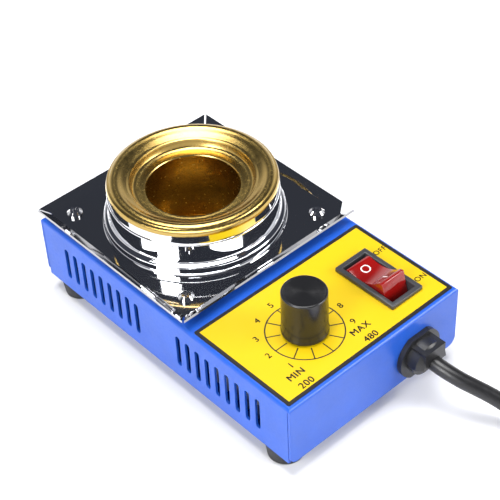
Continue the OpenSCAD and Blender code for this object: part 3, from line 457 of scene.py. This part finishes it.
def stamp(text, x, y, size, bold=0.0):
    """Letters centred on a point of the label, printed twice side by side to be bold."""
    for shift in (-bold, bold):
        select_only()
        bpy.ops.object.text_add(location=(x + shift, y + shift / 2, print_z))
        letters = bpy.context.object
        letters.data.body = text
        letters.data.size = size
        letters.data.space_character = 1.1
        letters.data.extrude = mm(0.01)
        letters.data.align_x, letters.data.align_y = "CENTER", "CENTER"
        bpy.ops.object.convert(target="MESH")
        bpy.ops.object.transform_apply(location=True, rotation=True, scale=True)
        ink_parts.append(letters)


number_angles = {1: -150, 2: 180, 3: 150, 4: 120, 5: 90, 6: 60, 7: 30, 8: 0, 9: -30}
for number, angle in number_angles.items():
    turn = math.radians(angle)
    stamp(str(number), dial_middle.x + mm(17.7) * math.cos(turn),
          dial_middle.y + mm(17.7) * math.sin(turn), mm(3.7), mm(0.07))
stamp("MIN", mm(-29.3), mm(-59.6), mm(3.9), mm(0.11))
stamp("200", mm(-29.3), mm(-64.9), mm(3.9), mm(0.11))
stamp("MAX", mm(2.2), mm(-59.6), mm(3.9), mm(0.11))
stamp("480", mm(2.2), mm(-64.9), mm(3.9), mm(0.11))
stamp("OFF", mm(36.6), mm(-36.2), mm(3.3), mm(0.05))
stamp("ON", mm(36.6), mm(-56.7), mm(3.3), mm(0.05))
print("words and numbers:", len(ink_parts))


# %% Ring and strokes of the dial
def ink_bar(x0, y0, x1, y1, width):
    """A straight printed stroke between two points."""
    start, end = Vector((x0, y0)), Vector((x1, y1))
    select_only()
    bpy.ops.mesh.primitive_cube_add(size=1)
    bar = bpy.context.object
    bar.scale = ((end - start).length, width, mm(0.02))
    bar.rotation_euler.z = math.atan2(y1 - y0, x1 - x0)
    bar.location = (*((start + end) / 2), print_z)
    bpy.ops.object.transform_apply(location=True, rotation=True, scale=True)
    ink_parts.append(bar)


for step in range(12):
    turn = math.radians(30 * step)
    along = Vector((math.cos(turn), math.sin(turn)))
    start, end = dial_middle.xy + along * mm(8.9), dial_middle.xy + along * mm(14.3)
    ink_bar(*start, *end, mm(0.45))
select_only()
bpy.ops.mesh.primitive_torus_add(
    location=(*dial_middle.xy, print_z), major_radius=mm(14.3), minor_radius=mm(0.26),
    major_segments=96, minor_segments=8)
ring = bpy.context.object
ring.scale.z = 0.06
bpy.ops.object.transform_apply(location=True, rotation=True, scale=True)
ink_parts.append(ring)
select_only(*ink_parts)
bpy.ops.object.join()
label_print = bpy.context.object
label_print.name = "label_print"
add_piece(label_print, "base", "label", ink)

# %% [markdown]
# ## Outlines that are spun or pushed
#
# Turned and spun pieces start as half a cross-section, drawn point by point and spun
# round the axis. Moulded pieces start as a side view that is filled and pushed along.


# %% Helpers for outlines
def trace(name, points):
    """A chain of vertices through the points, left open in edit mode."""
    select_only()
    bpy.ops.mesh.primitive_plane_add(size=mm(1))
    piece = bpy.context.object
    piece.name = name
    bpy.ops.object.mode_set(mode="EDIT")
    bpy.ops.mesh.select_mode(type="VERT")
    bpy.ops.mesh.select_all(action="SELECT")
    bpy.ops.mesh.merge(type="CENTER")
    bpy.ops.transform.translate(value=points[0])
    for before, after in zip(points, points[1:]):
        bpy.ops.mesh.extrude_region_move(TRANSFORM_OT_translate={"value": after - before})
    bpy.ops.mesh.select_all(action="SELECT")
    return piece


def turned(name, profile, axis_at, steps=160, smooth=35):
    """A profile of radius and height in mm, spun round an upright axis."""
    piece = trace(name, [mm(radius, 0, height) for radius, height in profile])
    bpy.ops.mesh.spin(steps=steps, angle=math.tau, center=(0, 0, 0), axis=(0, 0, 1))
    bpy.ops.mesh.select_all(action="SELECT")
    bpy.ops.mesh.remove_doubles(threshold=mm(0.002))
    bpy.ops.mesh.normals_make_consistent(inside=False)
    bpy.ops.transform.translate(value=axis_at)
    bpy.ops.object.mode_set(mode="OBJECT")
    bpy.ops.object.shade_smooth_by_angle(angle=math.radians(smooth))
    return piece


def arc(across, up, radius, start, end, parts):
    """Points of an arc of a profile, angles in degrees."""
    turns = [math.radians(start + (end - start) * i / parts) for i in range(parts + 1)]
    return [(across + radius * math.cos(t), up + radius * math.sin(t)) for t in turns]


def pick_faces(piece, test):
    """Selects the faces that pass the test and opens edit mode."""
    select_only(piece)
    bpy.ops.object.mode_set(mode="EDIT")
    bpy.ops.mesh.select_mode(type="FACE")
    bpy.ops.mesh.select_all(action="DESELECT")
    bpy.ops.object.mode_set(mode="OBJECT")
    for face in piece.data.polygons:
        face.select = test(face)
    bpy.ops.object.mode_set(mode="EDIT")


def soften(piece, width, angle=50):
    """Rounds the sharp edges."""
    apply_modifier(piece, "BEVEL", width=width, segments=3, limit_method="ANGLE",
                   angle_limit=math.radians(angle))
    bpy.ops.object.shade_smooth_by_angle(angle=math.radians(38))


# %% [markdown]
# ### Turned metal
#
# A lathe leaves fine rings that stretch every reflection across them. The finish gets
# that from an anisotropic gloss with its tangent round the axis, and from rings of
# relief whose distance is measured from the axis.


# %% Turned finishes
def turned_finish(name, colour, metal, rough, stretch, rings, depth, axis_at):
    """A finish with lathe rings round an upright axis."""
    material = finish_of(name, colour, 0.03, metal, rough, 700, mm(0.0004))
    shader = shader_of(material)
    shader.inputs["Anisotropic"].default_value = stretch
    round_axis = node(material, "Tangent", {"direction_type": "RADIAL", "axis": "Z"})
    link(material, round_axis.outputs["Tangent"], shader.inputs["Tangent"])
    spot = node(material, "TexCoord")
    centred = node(material, "VectorMath", {"operation": "SUBTRACT"})
    centred.inputs[1].default_value = axis_at
    waves = node(material, "TexWave", {"wave_type": "RINGS", "rings_direction": "Z"},
                 Scale=rings, Distortion=0.0)
    link(material, spot.outputs["Object"], centred.inputs[0])
    link(material, centred.outputs["Vector"], waves.inputs["Vector"])
    raise_grain(material, waves.outputs["Fac"], depth)
    return material


pot_middle = middle("solder_pot")
pot_axis = Vector((pot_middle.x, pot_middle.y, 0))
knob_axis = Vector((dial_middle.x, dial_middle.y, mm(36.6)))
pot_gold = turned_finish(
    "pot_gold", (0.50, 0.345, 0.105), 1.0, 0.24, 0.6, 420, mm(0.002), pot_axis)
knob_spun = turned_finish(
    "knob_spun", (0.012, 0.012, 0.013), 0.0, 0.2, 0.8, 500, mm(0.004), knob_axis)

# %% [markdown]
# ## The pot
#
# The pot is turned in one piece, with a gold-coloured surface: a cup with a stud below,
# and a wide rim that is dished towards the bore so that splashes run back. It could be
# cut from a cylinder ring by ring, but a lathe's work is best drawn as the lathe cuts it:
# half the section, from the stud up round the rim and down into the bore, then spun.

# %% Spin the pot
rim = arc(29.4, 55.3, 3.4, 0, 30, 4) + arc(29.4, 55.95, 2.55, 35, 90, 8)
dish = [(28.9, 58.46), (28.4, 58.3), (27.9, 58.02), (27.4, 57.7), (26.8, 57.3),
        (26.0, 56.9), (25.2, 56.6), (24.7, 56.4), (24.4, 56.1), (24.0, 55.95), (23.6, 55.2)]
throat = arc(21.2, 55.1, 2.6, 318, 268, 10)
bore = [(19.0, 52.6), (18.6, 52.75), (18.25, 52.7), (18, 52.35), (18, 23)]
pot = turned(
    "pot",
    [(0, 11.5), (1.9, 11.5), (2, 11.8), (2, 18.5), (19.5, 18.5), (20.5, 19.5),
     (20.5, 47.3), (21.7, 48.5), (30, 53.8), (31.2, 54.2), (31.2, 55), (32.3, 55)]
    + rim + dish + throat + bore + arc(16.5, 23, 1.5, 330, 270, 4) + [(0, 21.5)],
    pot_axis)
add_piece(pot, "base", "gold_metal", pot_gold, "solder_pot")

# %% [markdown]
# ## The collar
#
# The collar is one chromed sheet, spun over a former: a hem that stiffens its foot, a
# short band, a step inwards, a tall wall, and a shoulder and neck that hold the pot. Only
# the outer side of the sheet is drawn and spun. Solidify then adds the thickness inwards,
# which keeps it even round every bend.

# %% Spin the collar
skin = [(35.5, 38.32), (35.55, 38.7), (35.3, 39.1), (35, 39.2), (35, 41.4)]
skin += arc(34.4, 41.5, 0.6, 0, 60, 4) + [(34.0, 42.4)]
skin += arc(33.9, 43.3, 0.9, 250, 180, 4)
skin += [(33, 44.5), (33, 50.8)] + arc(32.4, 50.9, 0.6, 0, 80, 5)
skin += [(32.45, 51.7), (32.4, 52.2), (32.4, 55)]
collar = turned("collar", skin, pot_axis, steps=192)
apply_modifier(collar, "SOLIDIFY", thickness=mm(0.8), offset=-1)
bpy.ops.object.shade_smooth_by_angle(angle=math.radians(35))
collar_bore = min((v.co.xy - pot_axis.xy).length for v in collar.data.vertices)
print("smallest radius of the collar in mm:", round(1000 * collar_bore, 2))
add_piece(collar, "base", "chrome", chrome, "pot_collar")

# %% [markdown]
# ## The dial knob
#
# The knob is a plain turned cap with a fine rim round its slightly sunken top. Its
# underside is hollow, so that it clears the nut of the control. Its section starts in
# the hole for the shaft, goes round the hollow and up the outside, and ends on the top.
# It rides on the dial's body, so it turns with the shaft.

# %% Spin the knob
knob = turned(
    "knob",
    [(0, 12.9), (3.05, 12.9), (3.05, 2.9), (6.6, 2.9), (6.6, 0), (8.5, 0), (8.65, 0.1),
     (8.7, 0.3), (8.7, 1.2), (8.55, 1.5), (8.5, 1.8), (8.33, 17.7)]
    + arc(7.75, 17.9, 0.6, 0, 90, 6) + [(7.5, 18.5), (7.3, 18.33), (0, 18.35)],
    knob_axis, steps=128)
add_piece(knob, "dial", "black_anodised", knob_spun, "dial_knob")

# %% [markdown]
# ## The rocker switch
#
# The frame and its housing are one moulding. A block gets the outline of the frame, its
# underside is inset and pulled down through the case, and its top is inset and pushed in
# to make the well that the rocker sits in.

# %% Mould the switch frame
frame_size = (15.8, 29.2, 1.8)
frame_top = mm(37.6)
housing_step, housing_depth = mm(1.4), mm(14.3)
well_edge, well_depth = mm(2), mm(14.9)
select_only()
bpy.ops.mesh.primitive_cube_add(size=1)
switch_frame = bpy.context.object
switch_frame.name = "switch_frame"
switch_frame.scale = mm(*frame_size)
switch_frame.location = (switch_middle.x, switch_middle.y, frame_top - mm(frame_size[2] / 2))
bpy.ops.object.transform_apply(location=True, rotation=True, scale=True)
pick_faces(switch_frame, lambda face: face.normal.z < -0.9)
bpy.ops.mesh.inset(thickness=housing_step)
bpy.ops.mesh.extrude_region_move(TRANSFORM_OT_translate={"value": (0, 0, -housing_depth)})
pick_faces(switch_frame, lambda face: face.normal.z > 0.9)
bpy.ops.mesh.inset(thickness=well_edge)
bpy.ops.mesh.extrude_region_move(TRANSFORM_OT_translate={"value": (0, 0, -well_depth)})
bpy.ops.object.mode_set(mode="OBJECT")
soften(switch_frame, mm(0.35))
add_piece(switch_frame, "base", "switch_black", switch_black, "switch_housing")

# %% [markdown]
# The rocker is moulded in clear red plastic so that the lamp inside can show. Its face is
# hollow and both ends stand up. It is drawn from the side, filled, pushed to its width
# and set on its pin, which leans fourteen degrees with the back end down.

# %% Push the rocker
rocker_width, pin_length, pin_radius = 11.4, mm(13), mm(1.2)
pivot = Vector((switch_middle.x, switch_middle.y, mm(31.5)))
lean = Matrix.Translation(pivot) @ Matrix.Rotation(math.radians(-14), 4, "X")
hollow = arc(0, 20.775, 14.575, 238.1, 301.9, 20)
side = [(-2.5, -3), (-9.55, -3), (-9.4, 8), (-9.25, 8.3), (-9, 8.4)] + hollow
side += [(9, 8.4), (9.25, 8.3), (9.4, 8), (9.55, -3), (2.5, -3), (1.2, -6), (-1.2, -6)]
rocker = trace("rocker", [mm(-rocker_width / 2, y, z) for y, z in side])
bpy.ops.mesh.edge_face_add()
bpy.ops.mesh.extrude_region_move(TRANSFORM_OT_translate={"value": mm(rocker_width, 0, 0)})
bpy.ops.mesh.select_all(action="SELECT")
bpy.ops.mesh.normals_make_consistent(inside=False)
bpy.ops.object.mode_set(mode="OBJECT")
soften(rocker, mm(0.3), 60)
select_only()
bpy.ops.mesh.primitive_cylinder_add(vertices=32, radius=pin_radius, depth=pin_length,
                                    rotation=(0, math.pi / 2, 0))
select_only(bpy.context.object, rocker)
bpy.ops.object.join()
rocker.matrix_world = lean
bpy.ops.object.transform_apply(location=True, rotation=True, scale=True)
red_plastic = finish_of("red_plastic", (0.33, 0.005, 0.004), 0.08, 0.0, 0.16, 900, mm(0.003),
                        Transmission_Weight=0.25, IOR=1.49, Coat_Weight=0.4, Coat_Roughness=0.1)
add_piece(rocker, "rocker", "red_lens", red_plastic, "switch_rocker")

# %% [markdown]
# Two marks are printed on the hollow face: a ring where the face is pressed for off, and
# a dash before the raised end for on. Each is made flat, leaned to the slope of the face
# where it lies, and set on the rocker as it leans.


# %% Print the two marks
def lay_mark(mark, thickness_scale, y, z, slope):
    """Flattens a mark and lays it on the rocker's face at this slope in degrees."""
    mark.scale.z *= thickness_scale
    bpy.ops.object.transform_apply(scale=True)
    on_face = Matrix.Translation(mm(0, y, z)) @ Matrix.Rotation(math.radians(slope), 4, "X")
    mark.matrix_world = lean @ on_face
    bpy.ops.object.transform_apply(location=True, rotation=True, scale=True)


select_only()
bpy.ops.mesh.primitive_torus_add(major_radius=mm(1.7), minor_radius=mm(0.27),
                                 major_segments=64, minor_segments=12)
off_mark = bpy.context.object
lay_mark(off_mark, 0.12, 4.9, 7.14, 19.6)
select_only()
bpy.ops.mesh.primitive_cube_add(size=1)
on_mark = bpy.context.object
on_mark.scale = mm(0.55, 2.6, 0.05)
lay_mark(on_mark, 1, -5.2, 7.2, -20.9)
select_only(on_mark, off_mark)
bpy.ops.object.join()
off_mark.name = "rocker_marks"
add_piece(off_mark, "rocker", "", white_ink)

# %% [markdown]
# ## Floor, light and surroundings
#
# The object stands on a plain white floor.

# %% Floor
select_only()
bpy.ops.mesh.primitive_plane_add(size=2.4)
floor = bpy.context.object
floor.name = "floor"
floor_white = surface("floor_white", (0.86, 0.86, 0.87), 0.0, 0.9)
floor.data.materials.append(floor_white)

# %% [markdown]
# ### Three soft lights
#
# Large square lights give soft shadows and broad, quiet highlights. One hangs overhead.
# The other two stand to the left and to the right of the camera, and show as white
# patches on the chrome.


# %% Lights
def soft_light(name, place, width, height, power):
    """A rectangular light that looks at the object."""
    data = bpy.data.lights.new(name, "AREA")
    data.shape = "RECTANGLE"
    data.size, data.size_y = width, height
    data.energy = power
    lamp = bpy.data.objects.new(name, data)
    bpy.context.scene.collection.objects.link(lamp)
    lamp.location = place
    lamp.rotation_mode = "QUATERNION"
    lamp.rotation_quaternion = (aim - Vector(place)).to_track_quat("-Z", "Y")


aim = Vector((0, 0, 0.03))
soft_light("over", (0.0, 0.1, 1.3), 0.8, 0.8, 20)
soft_light("left_front", (-1.12, -0.2, 0.65), 0.5, 0.7, 14)
soft_light("right_front", (0.75, -1.0, 0.6), 0.6, 0.6, 14)
print("lights:", len(bpy.data.lights))

# %% [markdown]
# ### The studio around
#
# Polished metal shows what stands around it. The surroundings are pale near the horizon
# and dark overhead, so the flat tray looks dark, and upright and rounded metal gets pale
# edges.

# %% Surroundings
world = bpy.data.worlds.new("studio")
bpy.context.scene.world = world
world.use_nodes = True
sky = world.node_tree
direction = sky.nodes.new("ShaderNodeTexCoord")
height = sky.nodes.new("ShaderNodeSeparateXYZ")
shade = sky.nodes.new("ShaderNodeValToRGB")
low_sky, high_sky = shade.color_ramp.elements
low_sky.position, low_sky.color = 0.25, (0.95, 0.95, 0.97, 1)
high_sky.position, high_sky.color = 0.5, (0.05, 0.055, 0.07, 1)
sky.links.new(direction.outputs["Generated"], height.inputs[0])
sky.links.new(height.outputs["Z"], shade.inputs["Fac"])
sky.links.new(shade.outputs["Color"], sky.nodes["Background"].inputs["Color"])
bpy.context.scene.view_settings.view_transform = "Standard"
